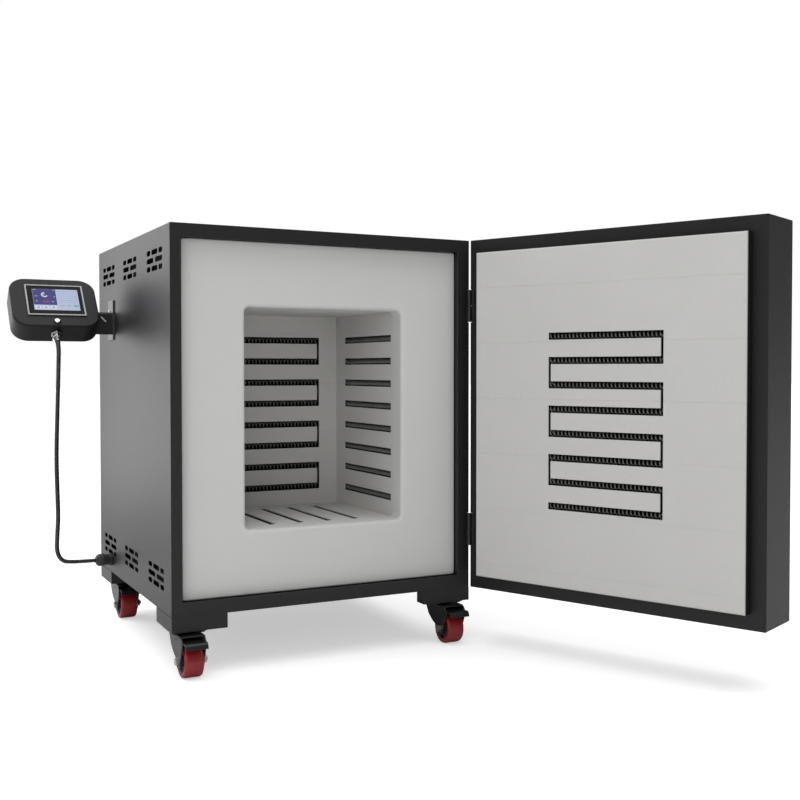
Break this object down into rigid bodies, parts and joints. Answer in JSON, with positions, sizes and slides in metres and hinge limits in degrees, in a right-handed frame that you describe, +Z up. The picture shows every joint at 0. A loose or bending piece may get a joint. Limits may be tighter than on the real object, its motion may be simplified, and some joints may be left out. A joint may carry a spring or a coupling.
{
  "type": "pottery kiln",
  "caption": "Front-loading electric pottery kiln: brick-lined steel cabinet on braked swivel casters, thick side-hinged door, coiled elements and a touchscreen control box on a bracket",
  "frame": {"origin": "on the floor under the middle of the machine's outer box, with the door at its rest angle", "axes": "+Z up, front (the chamber mouth) toward -Y, hinge side toward +X, control box on the -X side"},
  "size_m": [1.2436, 1.2434, 0.844],
  "materials": {
    "powder_black": "satin black powder coat with a very fine texture",
    "inner_dark": "dull dark steel",
    "firebrick": "matt pale insulating firebrick",
    "cast_face": "matt pale cast refractory coating",
    "insulation": "fibre board",
    "element_wire": "oxidised resistance alloy wire",
    "zinc": "bright zinc plating",
    "porcelain": "glazed porcelain",
    "probe_sheath": "ceramic sheath",
    "red_urethane": "semi-gloss red polyurethane",
    "caster_black": "black e-coat, satin",
    "hinge_steel": "dark grey steel",
    "box_black": "fine textured matt black",
    "bezel_silver": "satin silver",
    "display": "glossy dark display",
    "board_green": "solder mask",
    "button_steel": "polished stainless",
    "nickel": "nickel plated brass",
    "conduit_black": "black coated steel conduit",
    "gland_black": "black nylon",
    "bracket_light": "zinc plated plate"
  },
  "bodies": {
    "cabinet": {"cabinet_shell": "powder_black", "front_frame": "powder_black", "rear_cover": "powder_black", "foot_blocks": "powder_black", "inner_casing": "inner_dark", "bulkhead": "inner_dark", "insulation_boards": "insulation", "front_collar": "cast_face", "side_bricks": "firebrick", "back_bricks": "firebrick", "roof_bricks": "firebrick", "floor_bricks": "firebrick", "side_elements": "element_wire", "back_element": "element_wire", "floor_element": "element_wire", "element_terminals": "porcelain", "thermocouple": "probe_sheath", "terminal_block": "gland_black", "relays": "box_black", "rear_cover_screws": "zinc", "mains_gland": "gland_black", "caster_plates": "caster_black", "caster_bolts": "zinc", "box_housing": "box_black", "box_back_cover": "box_black", "screen_bezel": "bezel_silver", "screen_glass": "display", "circuit_board": "board_green", "upper_gland": "nickel", "lower_gland": "gland_black", "conduit": "conduit_black", "bracket_plate": "bracket_light", "bracket_screws": "zinc", "bracket_arm": "powder_black", "cabinet_hinge_leaves": "hinge_steel", "hinge_pins": "hinge_steel"},
    "door": {"door_shell": "powder_black", "door_insulation": "insulation", "door_bricks": "cast_face", "door_element": "element_wire", "door_handle": "caster_black", "handle_screws": "zinc", "door_hinge_leaves": "hinge_steel"},
    "start_button": {"start_button": "button_steel"},
    "front_left_swivel": {"front_left_fork": "caster_black", "front_left_axle_bolt": "zinc"},
    "front_left_pedal": {"front_left_brake_pedal": "caster_black"},
    "front_left_roller": {"front_left_wheel": "red_urethane"},
    "front_right_swivel": {"front_right_fork": "caster_black", "front_right_axle_bolt": "zinc"},
    "front_right_pedal": {"front_right_brake_pedal": "caster_black"},
    "front_right_roller": {"front_right_wheel": "red_urethane"},
    "rear_left_swivel": {"rear_left_fork": "caster_black", "rear_left_axle_bolt": "zinc"},
    "rear_left_pedal": {"rear_left_brake_pedal": "caster_black"},
    "rear_left_roller": {"rear_left_wheel": "red_urethane"},
    "rear_right_swivel": {"rear_right_fork": "caster_black", "rear_right_axle_bolt": "zinc"},
    "rear_right_pedal": {"rear_right_brake_pedal": "caster_black"},
    "rear_right_roller": {"rear_right_wheel": "red_urethane"}
  },
  "joints": [
    {"name": "door_hinge", "type": "hinge", "parent": "cabinet", "child": "door", "pos_m": [0.23566, -0.03484, 0.479], "axis": [0, 0, 1], "range_deg": [-113.3, 60]},
    {"name": "start_button_press", "type": "slide", "parent": "cabinet", "child": "start_button", "axis": [0, 0.7455, -0.6665], "range_m": [0, 0.0018], "stiffness_N_per_m": 600, "springref_m": -0.002},
    {"name": "front_left_caster_swivel", "type": "hinge", "parent": "cabinet", "child": "front_left_swivel", "pos_m": [-0.36284, 0.01066, 0.078], "axis": [0, 0, 1], "continuous": true},
    {"name": "front_left_wheel_spin", "type": "hinge", "parent": "front_left_swivel", "child": "front_left_roller", "pos_m": [-0.36284, -0.02734, 0.03175], "axis": [1, 0, 0], "continuous": true},
    {"name": "front_left_brake", "type": "hinge", "parent": "front_left_swivel", "child": "front_left_pedal", "pos_m": [-0.36284, -0.01334, 0.07], "axis": [1, 0, 0], "range_deg": [0, 7]},
    {"name": "front_right_caster_swivel", "type": "hinge", "parent": "cabinet", "child": "front_right_swivel", "pos_m": [0.19166, 0.01066, 0.078], "axis": [0, 0, 1], "continuous": true},
    {"name": "front_right_wheel_spin", "type": "hinge", "parent": "front_right_swivel", "child": "front_right_roller", "pos_m": [0.19166, -0.02734, 0.03175], "axis": [1, 0, 0], "continuous": true},
    {"name": "front_right_brake", "type": "hinge", "parent": "front_right_swivel", "child": "front_right_pedal", "pos_m": [0.19166, -0.01334, 0.07], "axis": [1, 0, 0], "range_deg": [0, 7]},
    {"name": "rear_left_caster_swivel", "type": "hinge", "parent": "cabinet", "child": "rear_left_swivel", "pos_m": [-0.35834, 0.55466, 0.078], "axis": [0, 0, 1], "continuous": true},
    {"name": "rear_left_wheel_spin", "type": "hinge", "parent": "rear_left_swivel", "child": "rear_left_roller", "pos_m": [-0.35834, 0.51666, 0.03175], "axis": [1, 0, 0], "continuous": true},
    {"name": "rear_left_brake", "type": "hinge", "parent": "rear_left_swivel", "child": "rear_left_pedal", "pos_m": [-0.35834, 0.53066, 0.07], "axis": [1, 0, 0], "range_deg": [0, 7]},
    {"name": "rear_right_caster_swivel", "type": "hinge", "parent": "cabinet", "child": "rear_right_swivel", "pos_m": [0.19516, 0.55466, 0.078], "axis": [0, 0, 1], "continuous": true},
    {"name": "rear_right_wheel_spin", "type": "hinge", "parent": "rear_right_swivel", "child": "rear_right_roller", "pos_m": [0.19516, 0.51666, 0.03175], "axis": [1, 0, 0], "continuous": true},
    {"name": "rear_right_brake", "type": "hinge", "parent": "rear_right_swivel", "child": "rear_right_pedal", "pos_m": [0.19516, 0.53066, 0.07], "axis": [1, 0, 0], "range_deg": [0, 7]}
  ]
}
